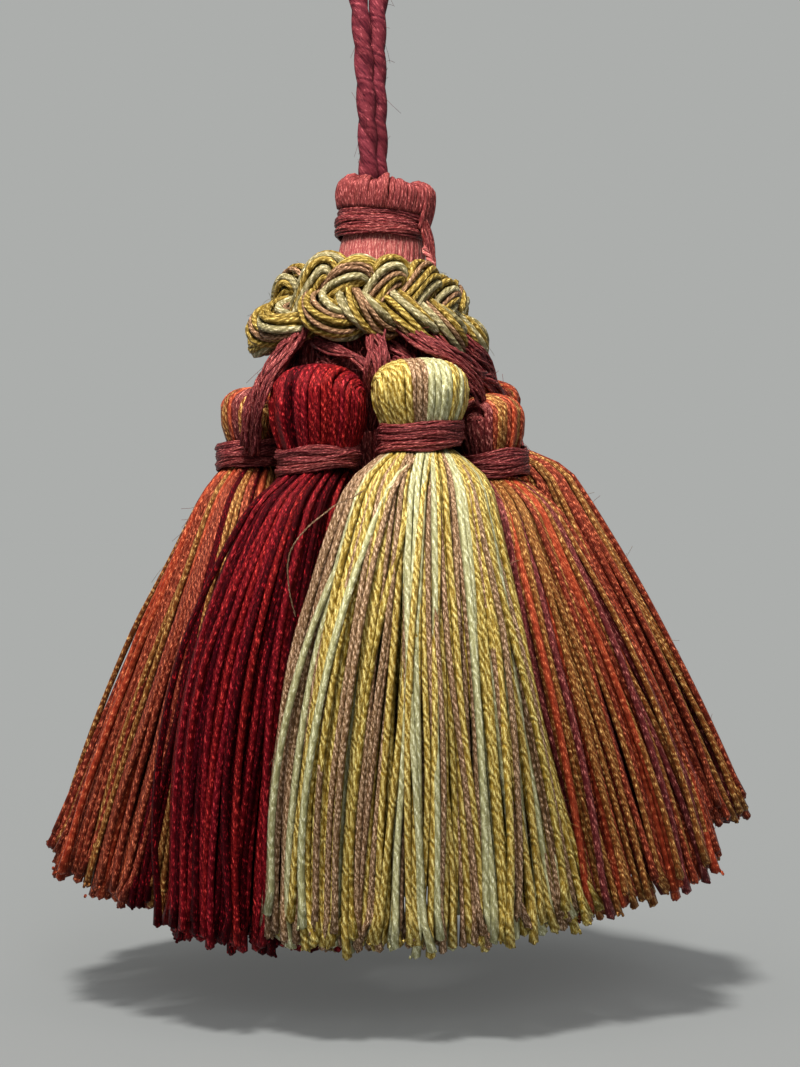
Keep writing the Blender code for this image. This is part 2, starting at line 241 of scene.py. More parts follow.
def yarn(name, deep, body, crown, glint, bead, ply, glints, hair=0.3, gloss=0.42, side=0.72,
         painted_drops=0.0, spread=0.10):
    """A two-ply yarn twisted S, drawn from the map "strand".

    Deep, body, crown and glint are its colours from the groove between the plies up to the
    flecks of light on them. The ramp from deep to crown follows the plies' relief: it is painted
    shade in the grooves and painted light on the crowns. Glint is the colour of the painted
    highlights, and also tints the yarn's specular reflection. Bead is the length of one ply's
    stroke in millimetres. Ply and hair are the relief of the plies and of the fibres on them,
    glints the share of the yarn painted with sparkling highlights, and painted_drops how bright
    the painted highlight on each stroke's crown is. Spread is how far one yarn's dye differs
    from the next, and side how bright its flanks are beside its face: painted shade that darkens
    each yarn away from its face.
    """
    made = bpy.data.materials.new(name)
    made.use_nodes = True
    tree = made.node_tree
    shader = tree.nodes["Principled BSDF"]

    def maths(operation, *sources):
        return add(tree, "Math", *sources, operation=operation)

    def smooth(value, low, high, *ends):
        return add(tree, "MapRange", value, low, high, *ends, interpolation_type="SMOOTHSTEP")

    place = add(tree, "SeparateXYZ", add(tree, "UVMap", uv_map="strand")).node
    along, numbered = place.outputs["X"], place.outputs["Y"]
    number = maths("FLOOR", numbered)
    around = maths("MULTIPLY", maths("SUBTRACT", maths("FRACT", numbered), 0.5), math.tau)
    own = add(tree, "TexWhiteNoise", None, number, noise_dimensions="1D").node
    own_value, own_colour = own.outputs["Value"], own.outputs["Color"]

    # The plies lie close to the axis, so a stroke leans little on the face and hooks round at
    # the flanks. The yarn doesn't keep its twist evenly, so the strokes drift too.
    twice = maths("MULTIPLY", around, 2.0)
    hooked = maths("MULTIPLY_ADD", maths("SINE", twice), 1.2, twice)
    drift = add(tree, "TexNoise", None, maths("MULTIPLY_ADD", along, 0.4, number),
                noise_dimensions="1D", Scale=1.0, Detail=1.0)
    spun = maths("MULTIPLY_ADD", drift, 12.0, hooked)
    phase = maths("MULTIPLY_ADD", along, math.tau / bead, spun)
    lobe = maths("MULTIPLY_ADD", maths("COSINE", phase), 0.5, 0.5)

    # Fibres lie nearly along the yarn: long noise, wrapped round so that it has no seam. It is
    # drawn about five times as coarse as a real 0.02 mm fibre, so that it shows.
    facing = maths("COSINE", around)
    east = maths("MULTIPLY", facing, 4.0)
    north = maths("MULTIPLY", maths("SINE", around), 4.0)
    length = maths("MULTIPLY_ADD", number, 7.31, along)
    fibre = add(tree, "TexNoise", add(tree, "CombineXYZ", east, north, length), Scale=1.1, Detail=2.0,
                Roughness=0.65)
    fibre = add(tree, "MapRange", fibre, 0.34, 0.66)

    # Painted highlights: the glint colour is painted in flecks on the crowns of the plies, and in a drop on
    # each stroke's face.
    short = add(tree, "CombineXYZ", east, north, maths("MULTIPLY", length, 2.6))
    painted_glint_mask = add(tree, "TexNoise", short, Scale=0.9, Detail=1.0)
    painted_glint_mask = smooth(painted_glint_mask, 0.62 - 0.25 * glints, 0.74 - 0.25 * glints)
    painted_glint_mask = maths("MULTIPLY", painted_glint_mask, lobe)
    drop = smooth(lobe, 0.6, 0.97)
    face = smooth(facing, 0.45, 0.95)
    drop = maths("MULTIPLY", drop, face)
    shine = add(tree, "MapRange", fibre, 0.0, 1.0, 0.3 * painted_drops, painted_drops)
    painted_glint_mask = maths("MAXIMUM", painted_glint_mask, maths("MULTIPLY", drop, shine))
    # Single fibres flash where they lie square to the light: here they are painted as fixed specks of
    # highlight, a few tenths of a millimetre long.
    painted_speck = add(tree, "TexNoise", short, Scale=1.9, Detail=0.0)
    painted_speck = add(tree, "MapRange", painted_speck, 0.64, 0.72, 0.0, 1.4 * glints)
    painted_glint_mask = maths("MAXIMUM", painted_glint_mask, maths("MULTIPLY", painted_speck, face))

    height = maths("MULTIPLY_ADD", lobe, ply, maths("MULTIPLY", fibre, hair))
    # Painted shade and light: the colour ramp darkens the grooves between the plies towards deep and
    # lightens their crowns towards crown, mixed with the fibres.
    shade = maths("MULTIPLY_ADD", lobe, 0.5, maths("MULTIPLY", fibre, 0.5))
    tint = add(tree, "ValToRGB", shade)
    ramp = tint.node.color_ramp
    ramp.elements[0].position, ramp.elements[0].color = 0.05, colour(deep)
    ramp.elements[1].position, ramp.elements[1].color = 0.95, colour(crown)
    ramp.elements.new(0.45).color = colour(body)
    # The painted highlights go into the base colour in the glint colour; their mask also lowers the
    # roughness.
    lit = add(tree, "Mix", painted_glint_mask, data_type="RGBA").node
    tree.links.new(tint, lit.inputs[6])
    lit.inputs[7].default_value = colour(glint)
    # Each yarn's dye differs at random from the next. Its flanks are darkened towards side, away from its
    # face, as painted shade.
    fade = add(tree, "MapRange", own_value, 0.0, 1.0, 1.0 - spread, 1.0 + spread)
    value = maths("MULTIPLY", fade, smooth(facing, -0.1, 0.75, side, 1.0))
    hue = add(tree, "MapRange", own_colour, 0.0, 1.0, 0.5 - 0.04 * spread, 0.5 + 0.04 * spread)
    tone_and_painted_flank_shade = add(tree, "HueSaturation", hue, 1.0, value, 1.0, lit.outputs[2])
    tree.links.new(tone_and_painted_flank_shade, shader.inputs["Base Color"])

    rough = add(tree, "MapRange", fibre, 0.0, 1.0, gloss + 0.10, gloss - 0.04)
    rough = maths("MULTIPLY_ADD", painted_glint_mask, -0.12, rough)
    tree.links.new(rough, shader.inputs["Roughness"])
    bump = add(tree, "Bump", 1.0, 0.16 * MM, None, height)
    tree.links.new(bump, shader.inputs["Normal"])
    # Light that glances off rayon has been through its outer fibres, and picks up their dye.
    shader.inputs["IOR"].default_value = 1.53
    shader.inputs["Specular Tint"].default_value = colour(glint)
    return made


def loose_fibres(paths, out, radius, count, first, last, rng):
    """Fine fibres that stand off some strands: their paths, and the strand that each comes from.

    They start between the first and last of the given points of their strands. They are drawn
    twice as thick as real ones, so that they show.
    """
    which = rng.integers(0, len(paths), count)
    at = rng.integers(first, last, count)
    away = unit(np.broadcast_to(out, paths.shape)[which, at])
    along = unit(paths[which, at] - paths[which, at - 1]) * rng.choice([-1.0, 1.0], (count, 1))
    start = paths[which, at] + 0.8 * away * np.broadcast_to(radius, paths.shape[:2])[which, at, None]
    leaving = unit(along + 0.3 * away + 0.3 * rng.normal(0.0, 1.0, (count, 3)))
    bending = rng.normal(0.0, 0.4, (count, 3)) - (0.0, 0.0, 0.2)
    share = np.linspace(0.0, 1.0, 4)[None, :, None]
    size = rng.uniform(*FIBRE_LENGTH_MM, (count, 1, 1)) * MM
    return start[:, None] + size * (leaving[:, None] * share + bending[:, None] * share**2), which


# Rayon of a rose dye, spun soft: nearly matt, dusty pink along the crowns of its plies, with painted shade
# of dark wine in the grooves where they meet.
rose_cord = yarn("rose rayon cord", "#34101A", "#561F28", "#662A32", "#94484F", bead=2.2, ply=0.15,
                 hair=0.25, glints=0.12, gloss=0.64, side=0.9)

route = through(CORD_ROUTE_MM, 0.25)
cord_plies = twisted(route, PLY_OFFSET, CORD_LAY)
cord_out = cord_plies - route
hanging_cord = strands("hanging_cord", cord_plies, cord_out, PLY_RADIUS, 16, [rose_cord], seed=1)
rng = np.random.default_rng(10)
hairs, _ = loose_fibres(cord_plies, cord_out, PLY_RADIUS, CORD_HAIRS, 4, len(route) - 4, rng)
cord_fuzz = strands("cord_fuzz", hairs, FRONT, FIBRE_RADIUS, 3, [rose_cord], seed=11)
for piece in (hanging_cord, cord_fuzz):
    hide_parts("hanging_loop")


# ---- The rolled heading ----------------------------------------------------------------------
# A band of fine rust-rose yarns looped over at its top edge and rolled into a coil round the cord.
# Its outer end stands off as a flap at the right, and the whole roll tips down that way.

HEAD_CENTRE = np.array((2.1, 0.0, 0.0)) * MM
HEAD_TIP = math.radians(6.0)
HEAD_TOP = -36.45 * MM
CAP_HEIGHT = 3.1 * MM
# The coil: how far round it has run, in degrees, and its radius there.
ROLL_MM = ((0.0, 5.35), (300.0, 5.15), (360.0, 4.15), (800.0, 2.40))
ROLL_END = 50.0
ROLL_LOOP = 0.66 * MM
ROLL_YARN = 0.28 * MM
ROLL_SPACING = 0.29 * MM
ROLL_STEPS = 18
FLAP = (53.5, 74.0)
FLAP_RADIUS = 5.62 * MM
FLAP_DROP = 1.7 * MM


def tipped(points, centre, tip):
    """Points turned about an axis along Y through the centre: a positive tip lowers the right."""
    cos, sin = math.cos(tip), math.sin(tip)
    x, z = points[..., 0], points[..., 2]
    turned = np.stack([x * cos + z * sin, points[..., 1], z * cos - x * sin], axis=-1)
    return turned + centre


def on_ring(angle_deg, radius, z):
    """Points round the Z axis: the angle runs from the front towards the right, in degrees."""
    angle = np.radians(angle_deg)
    return np.stack(np.broadcast_arrays(radius * np.sin(angle), -radius * np.cos(angle), z), axis=-1)


# Spun rayon, less glossy than floss: rust-rose, brightest where it turns over the rim.
head_yarn = yarn("rust-rose rayon yarn", "#501C1E", "#6A2A2C", "#803838", "#E08480", bead=1.2, ply=0.08,
                 hair=0.22, glints=0.25, gloss=0.46, spread=0.08, side=0.95)

rng = np.random.default_rng(11)
roll = []
around = 0.0
while around < ROLL_MM[-1][0]:
    radius = np.interp(around, *zip(*ROLL_MM)) * MM
    roll.append((ROLL_END - around, radius, -CAP_HEIGHT))
    around += math.degrees(ROLL_SPACING / radius)
for angle in np.arange(FLAP[0], FLAP[1], math.degrees(ROLL_SPACING / FLAP_RADIUS)):
    roll.append((angle, FLAP_RADIUS, -CAP_HEIGHT - FLAP_DROP))
roll = np.array(roll)
# Each yarn climbs the outside in the first half of its steps, turns over and sinks inside.
step = np.linspace(0.0, 1.0, ROLL_STEPS)
arch = np.clip((step - 0.5) / 0.3, 0.0, 1.0) * math.pi
up = np.minimum(step / 0.5, 1.0)
sink = np.clip((step - 0.8) / 0.2, 0.0, 1.0) * 1.6 * MM
jitter = rng.normal(0.0, 1.0, (len(roll), 3))
bearing = np.radians(roll[:, :1])
# The rim puffs up in soft lumps, and the wall below it draws in towards the binding.
lump = 0.20 * np.sin(5.0 * bearing + 1.0) + 0.18 * np.sin(13.0 * bearing + 2.0) + 0.06 * jitter[:, :1]
loop_top = ROLL_LOOP * (1.0 + lump)
bow = np.sin(math.pi * np.clip(step / 0.56, 0.0, 1.0))
yarn_radius = roll[:, 1:2] - loop_top * (1.0 - np.cos(arch)) + 0.05 * MM * jitter[:, 1:2]
yarn_radius = yarn_radius + (0.22 + 0.5 * lump) * MM * bow - 0.2 * MM * (1.0 - up)
yarn_z = roll[:, 2:] * (1.0 - up) - ROLL_LOOP * up + loop_top * np.sin(arch) - sink
yarn_z = yarn_z + (0.08 * jitter[:, 2:] + 0.9 * lump) * MM * up
yarn_angle = roll[:, :1] + 2.4 * jitter[:, :1] * np.sin(3.0 * step)
roll_paths = tipped(on_ring(yarn_angle, yarn_radius, yarn_z), HEAD_CENTRE + (0, 0, HEAD_TOP), HEAD_TIP)
roll_faces = on_ring(yarn_angle, np.cos(arch), np.sin(arch) * 1.2)
heading = strands("rolled_heading", roll_paths, roll_faces, ROLL_YARN, 6, [head_yarn], seed=2)
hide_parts("head_cap")


# ---- The heading's binding -------------------------------------------------------------------
# Rose rayon floss wound tight three times round the waist of the roll. Each turn is a flat band
# of fine strands, and the bands slip over one another.

BINDING_STRAND = 0.20 * MM
BINDING_TURNS = 3
TURN_STRANDS = 5
WAIST_RADIUS = 4.92 * MM
WAIST_HEIGHT = 3.1 * MM
WAIST_Z = -CAP_HEIGHT - WAIST_HEIGHT / 2
TAIL_MM = ((6.20, -3.00, -40.60), (6.70, -2.90, -42.60), (7.00, -3.00, -44.60), (7.10, -3.60, -46.40),
           (7.00, -4.60, -48.40))
TAIL_HALF = 0.55 * MM
TAIL_STRANDS = 14


def wound(height, radius, lean, rng):
    """Fine strands wound round the Z axis in flat bands, centred on it, one path for each turn."""
    bands, each = BINDING_TURNS, TURN_STRANDS
    angle = np.linspace(-184.0, 184.0, 40)
    turn = np.radians(angle)
    tuck = 0.6 * MM * np.clip((np.abs(angle) - 168.0) / 16.0, 0.0, 1.0)
    made = []
    for band in range(bands):
        phase = rng.uniform(0.0, math.tau, 4)
        level = height * ((band + 0.5) / bands - 0.5) + height / bands * angle / 360.0
        level = level + MM * (0.16 * np.sin(turn + phase[0]) + 0.10 * np.sin(3.0 * turn + phase[1]))
        proud = MM * (0.14 * np.sin(turn + phase[2]) + 0.06 * np.sin(4.0 * turn + phase[3]))
        for strand in range(each):
            share = (strand + 0.5) / each - 0.5
            own = rng.uniform(0.0, math.tau, 2)
            across = height / bands * 1.12 * share + 0.10 * MM * np.sin(4.0 * turn + own[0])
            out = 0.24 * MM * (1.0 - (2.0 * share) ** 2) + 0.05 * MM * np.sin(3.0 * turn + own[1])
            made.append(on_ring(angle, radius + proud + out - tuck, level + across + lean * np.sin(turn)))
    return np.array(made)


# Rose rayon floss: dull wine in the shade and pink along the strands that catch the light.
rose_thread = yarn("rose rayon floss", "#300A10", "#50141A", "#6C2226", "#E08480", bead=1.5, ply=0.08,
                   hair=0.22, glints=0.28, gloss=0.42, spread=0.16, side=0.85)

rng = np.random.default_rng(12)
waist = wound(WAIST_HEIGHT, WAIST_RADIUS, 0.0, rng)
waist_faces = tipped(waist * (1.0, 1.0, 0.0), 0.0, HEAD_TIP)
waist = tipped(waist + (0, 0, WAIST_Z), HEAD_CENTRE + (0, 0, HEAD_TOP), HEAD_TIP)

# Its end is left hanging at the right, and goes down behind the collar.
steps = waist.shape[1]
tail = through(TAIL_MM, 0.25, steps)
spot = rng.uniform(-1.0, 1.0, (TAIL_STRANDS, 2, 1)) * TAIL_HALF
swirl = np.linspace(0.0, 7.0, steps) + rng.uniform(0.0, math.tau, (TAIL_STRANDS, 2, 1))
spot = spot + 0.12 * MM * np.sin(swirl)
tail = tail + spot[:, 0, :, None] * (0.9, 0.4, 0.0) + 0.5 * spot[:, 1, :, None] * (0.4, -0.9, 0.0)
waist_faces = np.concatenate([waist_faces, np.broadcast_to((0.5, -0.8, 0.1), tail.shape)])
waist = np.concatenate([waist, tail])
head_tie = strands("heading_binding", waist, waist_faces, BINDING_STRAND, 6, [rose_thread], seed=3)
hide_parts("head_binding")


# ---- The bell --------------------------------------------------------------------------------
# A hank of glossy pink floss that comes down out of the binding and spreads over the core of the
# tassel, combed smooth, with a dark parting and a loose twisted thread towards the right.

BELL_CENTRE = np.array((0.3, 0.0, 0.0)) * MM
BELL_FOOT = -57.0 * MM
# The bell's outline: the height above its foot, and the half-width there.
BELL_MM = (
    (15.0, 4.45), (13.8, 4.85), (12.2, 5.00), (10.0, 5.20), (7.2, 5.60), (5.2, 6.40), (3.6, 7.20),
    (2.2, 7.40), (0.9, 7.00), (0.0, 6.40),
)
FLOSS_STRANDS = 120
FLOSS_STEPS = 18
FLOSS_RADIUS = 0.24 * MM
FLOSS_FOOT = (3.0, -0.2)
PARTING = 62.0
LOOSE_THREAD_MM = ((6.40, -3.60, -44.00), (6.75, -3.75, -44.80), (7.20, -4.05, -45.60),
                   (7.45, -4.60, -46.80), (7.30, -5.40, -48.20))
LOOSE_THREAD_LAY = 1.9 * MM
LOOSE_THREAD_OFFSET = 0.18 * MM

# Unspun rayon floss: the smoothest thing on the tassel, dusty pink with fine pale glints.
pink_floss = yarn("pink rayon floss", "#803438", "#904044", "#A0504E", "#E8A89C", bead=3.0, ply=0.02,
                  hair=0.15, glints=0.40, gloss=0.44, spread=0.05, side=0.98)

rng = np.random.default_rng(13)
heights = np.array([row[0] for row in BELL_MM]) * MM
widths = np.array([row[1] for row in BELL_MM]) * MM
down = np.linspace(0.0, 1.0, FLOSS_STEPS)
count = 2 * FLOSS_STRANDS
under = np.arange(count) >= FLOSS_STRANDS
foot = np.where(under, FLOSS_FOOT[1], FLOSS_FOOT[0])[:, None] * MM
fall_z = heights[0] + 0.4 * MM + (foot - heights[0] - 0.4 * MM) * down
fall_r = np.interp(-fall_z, -heights, widths)
shift = rng.normal(0.0, 1.0, (count, 3))
floss_angle = PARTING + 3.0 + 354.0 * (np.arange(count) % FLOSS_STRANDS) / (FLOSS_STRANDS - 1)
floss_angle = floss_angle[:, None] + shift[:, :1] * 1.2 * np.sin(3.0 * down + shift[:, 1:2])
floss_r = fall_r - 0.22 * MM - under[:, None] * 0.4 * MM + 0.04 * MM * shift[:, 2:]
floss = on_ring(floss_angle, floss_r, fall_z)
floss_faces = on_ring(floss_angle, 1.0, 0.3 * down)
floss = tipped(floss, BELL_CENTRE + (0, 0, BELL_FOOT), HEAD_TIP)
floss_radius = FLOSS_RADIUS + 0.12 * MM * (fall_r - widths[0]) / (widths.max() - widths[0])
thread = through(LOOSE_THREAD_MM, 0.3, FLOSS_STEPS)
plies = twisted(thread, LOOSE_THREAD_OFFSET, LOOSE_THREAD_LAY)
floss = np.concatenate([floss, plies])
floss_faces = np.concatenate([floss_faces, plies - thread])
floss_radius = np.concatenate([floss_radius, np.full((2, FLOSS_STEPS), FLOSS_RADIUS)])
bell = strands("bell_floss", floss, floss_faces, floss_radius, 5, [pink_floss], seed=4)
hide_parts("bell")


# ---- The collar ------------------------------------------------------------------------------
# A gimp braid of three fat bundles plaited together, each of gold, cream and brown rayon yarns
# laid side by side. It is wrapped round the foot of the bell and leans out over the small tassels.

COLLAR_CENTRE = np.array((0.3, 0.0, 0.0)) * MM
COLLAR_TOP = (8.0 * MM, -46.6 * MM)
COLLAR_FOOT = (12.1 * MM, -53.8 * MM)
COLLAR_TIP = math.radians(4.5)
PLAIT_REPEATS = 14 / 3
PLAIT_START = -1.03
PLAIT_SWING = 3.45 * MM
PLAIT_DEPTH = 1.0 * MM
GIMP_MM = {"G": 0.40, "C": 0.48, "B": 0.33}
GIMP_WIDE = 1.68 * MM
GIMP_DEEP = 1.12 * MM
COLLAR_DROOP = 1.5 * MM
COLLAR_STEPS = 280
OUTER_YARNS = 11
CORE_RADIUS = 0.45 * MM
COLLAR_HAIRS = 260

# Gold rayon: the brightest yarn, with a long yellow drop of light on each stroke of its twist.
gold = yarn("gold rayon yarn", "#5A4210", "#907224", "#B4943A", "#FFF0A0", bead=1.4, ply=0.35,
            glints=0.44, painted_drops=0.55, gloss=0.36, side=0.7)
# Cream rayon, spun looser: long pale strokes with grey-green shade between them.
cream = yarn("cream rayon yarn", "#7E7A50", "#A2A072", "#BAB88A", "#FCFCDA", bead=1.9, ply=0.15,
             glints=0.38, painted_drops=0.24, gloss=0.38, side=0.7)
# Brown rayon: the thinnest and fuzziest yarn, so its plies hardly show, with a pinkish sparkle.
brown = yarn("brown rayon yarn", "#503722", "#745434", "#866646", "#FFDABA", bead=0.9, ply=0.08,
             hair=0.5, glints=0.5, painted_drops=0.08, gloss=0.4, side=0.75)
# The braid's cream is spun tighter than the skirt's, and shows each turn of its plies. It is a darker copy
# of the skirt's cream: painted shade for the collar, which faces up into the light.
gimp_cream = yarn("cream gimp yarn", "#5E5636", "#7A724C", "#8A805C", "#F8ECC4", bead=1.1, ply=0.5,
                  hair=0.4, glints=0.32, painted_drops=0.22, gloss=0.5, side=0.85)
# Its gold and brown are the skirts' yarns with a duller, rougher sheen, in darker copies: painted shade for
# the collar, which faces up into the light.
gimp_gold = yarn("gold gimp yarn", "#543E10", "#6E561A", "#806824", "#FCE088", bead=1.0, ply=0.5,
                 hair=0.35, glints=0.3, painted_drops=0.35, gloss=0.48, side=0.85)
gimp_brown = yarn("brown gimp yarn", "#4A321E", "#5E442C", "#6E543C", "#F4C4A0", bead=0.8, ply=0.3,
                  glints=0.32, painted_drops=0.22, gloss=0.5, side=0.9)
GIMPS = [gimp_gold, gimp_cream, gimp_brown]
GIMP_ORDER = ("GGCBGBGCGBCGCB", "CGGBBCGGCBGGCB", "GCBBGCGCGBGCGG")

rng = np.random.default_rng(14)
turn = math.pi + math.tau * np.linspace(0.0, 1.0, COLLAR_STEPS)
slant = unit(np.array([COLLAR_FOOT[0] - COLLAR_TOP[0], COLLAR_FOOT[1] - COLLAR_TOP[1]]))
middle_r = (COLLAR_TOP[0] + COLLAR_FOOT[0]) / 2
middle_z = (COLLAR_TOP[1] + COLLAR_FOOT[1]) / 2


def on_collar(turn, down, out):
    """A place on the collar: down its slope and out from its face, from its middle line."""
    radius = middle_r + down * slant[0] - out * slant[1]
    droop = COLLAR_DROOP * np.sin(turn) ** 2
    return on_ring(np.degrees(turn), radius, down * slant[1] + out * slant[0] - droop)


gimp_paths, gimp_faces, gimp_letters = [], [], []
for bundle in range(3):
    # The plait is hand made: its bundles swing unevenly and puff up at each outer bend.
    own = rng.uniform(0.0, math.tau, 5)
    swing = PLAIT_REPEATS * turn + math.tau * bundle / 3 + PLAIT_START + 0.25 * np.sin(3.0 * turn + own[0])
    reach = PLAIT_SWING * np.sin(swing) * (1.0 + 0.15 * np.sin(4.0 * turn + own[1]))
    bulge = 0.45 * np.sin(swing) ** 4 + 0.2 * np.sin(7.0 * turn + own[2])
    depth = PLAIT_DEPTH * np.sin(2.0 * swing) + MM * bulge
    middle = on_collar(turn, reach, depth)
    face = on_collar(turn, reach, depth + MM) - middle
    run = unit(np.gradient(middle, axis=0))
    side = unit(np.cross(face, run))
    face = unit(np.cross(run, side))
    puff = 1.0 + 0.16 * np.sin(swing) ** 2 + 0.10 * np.sin(9.0 * turn + own[3])
    # Eleven yarns lie round the outside of a bundle and three within it. It turns over slowly as
    # it is plaited, so that each yarn comes to the face in places.
    over = 3.0 * turn + 0.7 * np.sin(5.0 * turn + own[4])
    widths = np.cumsum([0.0] + [GIMP_MM[letter] for letter in GIMP_ORDER[bundle][:OUTER_YARNS]])
    for k, letter in enumerate(GIMP_ORDER[bundle]):
        outer = k < OUTER_YARNS
        ring = 0.86 if outer else 0.3
        share = (widths[k] + widths[k + 1]) / 2 / widths[-1] if outer else k / 3
        place = over + math.tau * share + 0.12 * np.sin(11.0 * turn + 2.0 * k)
        wave = rng.uniform(0.0, math.tau, 2)
        across = GIMP_WIDE * ring * puff * np.cos(place) + 0.10 * MM * np.sin(14.0 * turn + wave[0])
        out = GIMP_DEEP * ring * puff * np.sin(place) + 0.10 * MM * np.sin(19.0 * turn + wave[1])
        gimp_paths.append(middle + side * across[:, None] + face * out[:, None])
        gimp_faces.append(face * (0.8 * MM + np.abs(out))[:, None] + side * across[:, None])
        gimp_letters.append(letter)
gimp_paths = tipped(np.array(gimp_paths), COLLAR_CENTRE + (0, 0, middle_z), COLLAR_TIP)
gimp_faces = tipped(np.array(gimp_faces), 0.0, COLLAR_TIP)
gimp_radii = np.array([[GIMP_MM[letter]] for letter in gimp_letters]) * MM
gimp_choice = ["GCB".index(letter) for letter in gimp_letters]
# Plain brown yarns wound behind the plait close the gaps in it.
behind = turn[::4]
core_paths = np.array([on_collar(behind, down * MM, -0.9 * MM) for down in np.linspace(-2.7, 2.7, 7)])
core_paths = tipped(core_paths, COLLAR_CENTRE + (0, 0, middle_z), COLLAR_TIP)
core = strands("collar_core", core_paths, core_paths * (1, 1, 0), CORE_RADIUS, 5, [gimp_brown], seed=7)
collar = strands("plaited_collar", gimp_paths, gimp_faces, gimp_radii, 5, GIMPS, gimp_choice, seed=5)
hairs, hair_from = loose_fibres(gimp_paths, gimp_faces, gimp_radii, COLLAR_HAIRS, 20, 260, rng)
collar_fuzz = strands("collar_fuzz", hairs, FRONT, FIBRE_RADIUS, 3, GIMPS,
                      np.array(gimp_choice)[hair_from], seed=6)
for piece in (core, collar, collar_fuzz):
    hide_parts("collar")


# ---- The small tassels -----------------------------------------------------------------------
# Eight hanks of rayon yarn, folded over their hanging threads and bound below the fold: the fold
# makes the head, and the cut ends fall as the skirt. Two are red, two gold and four rust.

RING_CENTRE = np.array((1.4, 0.0, 0.0)) * MM
# Angles are in degrees. The shoulder is the share of its reach that a yarn makes at once below the
# binding, and the fans are how soon the left and right of a skirt spread out.
Small = namedtuple("Small", (
    "mix", "angle", "ring", "head_top", "tie_top", "tie_foot", "head_half", "left_yarn", "right_yarn",
    "shoulder", "left_fan", "right_fan",
))
SMALLS_MM = (
    Small("rust", -66.0, 15.5, -59.9, -65.9, -69.0, 3.95, 46.2, 49.4, 0.06, 1.05, 1.15),
    Small("red", -25.0, 15.5, -57.9, -66.9, -69.7, 5.45, 49.9, 50.4, 0.14, 2.90, 1.90),
    Small("gold", 15.6, 16.5, -57.4, -64.4, -67.5, 5.30, 52.7, 51.2, 0.21, 2.30, 0.82),
    Small("rust", 54.0, 15.3, -60.8, -67.2, -70.4, 3.95, 48.2, 46.4, 0.10, 1.00, 1.40),
    Small("rust", 112.0, 12.8, -58.3, -63.0, -66.1, 4.70, 49.4, 51.5, 0.18, 1.15, 1.15),
    Small("red", 156.0, 15.5, -58.8, -66.2, -69.4, 5.10, 50.0, 50.0, 0.10, 1.50, 1.50),
    Small("gold", 197.0, 15.8, -58.5, -65.5, -69.0, 5.00, 51.0, 51.0, 0.12, 1.80, 1.80),
    Small("rust", 243.0, 15.5, -59.0, -66.0, -69.2, 5.00, 49.5, 49.0, 0.08, 1.30, 1.30),
)
NECK_RADIUS = 3.8 * MM
HEM_CENTRE = np.array((3.5, 0.0, 0.0)) * MM
HEM_HALF_WIDTH = 39.2 * MM
HEM_HALF_DEPTH = 31.5 * MM
HEM_INNER_RADIUS = 13.0 * MM
HEM_WAVE = 0.6 * MM
SHOULDER_FALL = 0.09
SHOULDER = 0.25
# The bearings where each skirt meets the next at the hem, outside and inside.
HEM_EDGES = (
    (-100.0, -98.0), (-47.0, -47.0), (-33.0, -10.0), (44.0, 31.0), (74.0, 84.0), (120.0, 132.0),
    (164.0, 170.0), (212.0, 214.0), (260.0, 262.0),
)
# Each ring of a skirt's yarns: its share of the skirt's depth, and how far apart they hang.
SKIRT_RINGS_MM = ((1.0, 0.70), (0.93, 0.76), (0.78, 1.8), (0.45, 3.0))
SKIRT_STEPS = 23
SKIRT_FRONT = (math.radians(15.0), math.radians(165.0))
SKIRT_INSIDE = (math.radians(225.0), math.radians(315.0))
# How far a yarn wanders on its own, with its neighbours, in kinks and out of the skirt.
WANDER_MM = 0.36
TOGETHER_MM = 0.45
KINK_MM = 0.07
LIFT_MM = 0.20
# How far a stray yarn ends up to the side, and how proud strays and crossing yarns lie.
STRAY_SHARE = 0.14
STRAY_MM = 2.4
STRAY_PROUD_MM = 0.5
CROSSING_PROUD_MM = 0.75
SPLAY_FROM = 0.93
NECK_SQUEEZE = 0.70
HAIRS = 200
TUFTS_AN_END = 2
TUFT_RADIUS = 0.17 * MM
TUFT_LENGTH_MM = (0.10, 0.30)
# The layers of loops in a head: their share of its half-width, and their number.
HEAD_LAYERS = ((1.0, 23), (0.84, 16))
HEAD_YARN_SHARE = 1.12
# A head's outline: the share of its height down from the top, and of its half-width there.
HEAD_ROWS = ((0.45, 1.0), (0.70, 0.97), (0.92, 0.85), (1.10, 0.74))
HEAD_DEPTH = 0.94
HANK_STRANDS = 18
HANK_STEPS = 18
BACK_THREADS = 12
BACK_THREAD_RADIUS = 0.42 * MM
THREAD_HAIRS = 70
THREAD_FIBRE_RADIUS = 0.025 * MM

# Crimson rayon: the deepest colour on the tassel, with painted orange-red highlights along the crowns.
crimson = yarn("crimson rayon yarn", "#30040A", "#50060E", "#6A0C16", "#F44848", bead=1.1, ply=0.1,
               glints=0.24, painted_drops=0.04, side=0.65)
# A darker copy of the same yarn, which gives the red skirts their near-black streaks.
wine = yarn("wine rayon yarn", "#100104", "#200207", "#30050C", "#B4202E", bead=1.1, ply=0.1,
            glints=0.16, gloss=0.58, side=0.65)
# Orange rayon, spun soft, with a low even shine.
orange = yarn("orange rayon yarn", "#661E12", "#8E301E", "#A2422A", "#FF9466", bead=1.2, ply=0.12,
              glints=0.3, painted_drops=0.08)
# Bronze rayon: fine and tightly spun, brown with painted gold highlights.
bronze = yarn("bronze rayon yarn", "#4C220F", "#703818", "#864A22", "#FFCC80", bead=0.9, ply=0.18,
              glints=0.34, painted_drops=0.28, gloss=0.4)
# Rust rayon: between the orange and the bronze, with a dull glow.
rust = yarn("rust rayon yarn", "#401210", "#601D14", "#74291C", "#FF906A", bead=1.0, ply=0.15,
            glints=0.32, painted_drops=0.14, side=0.7)
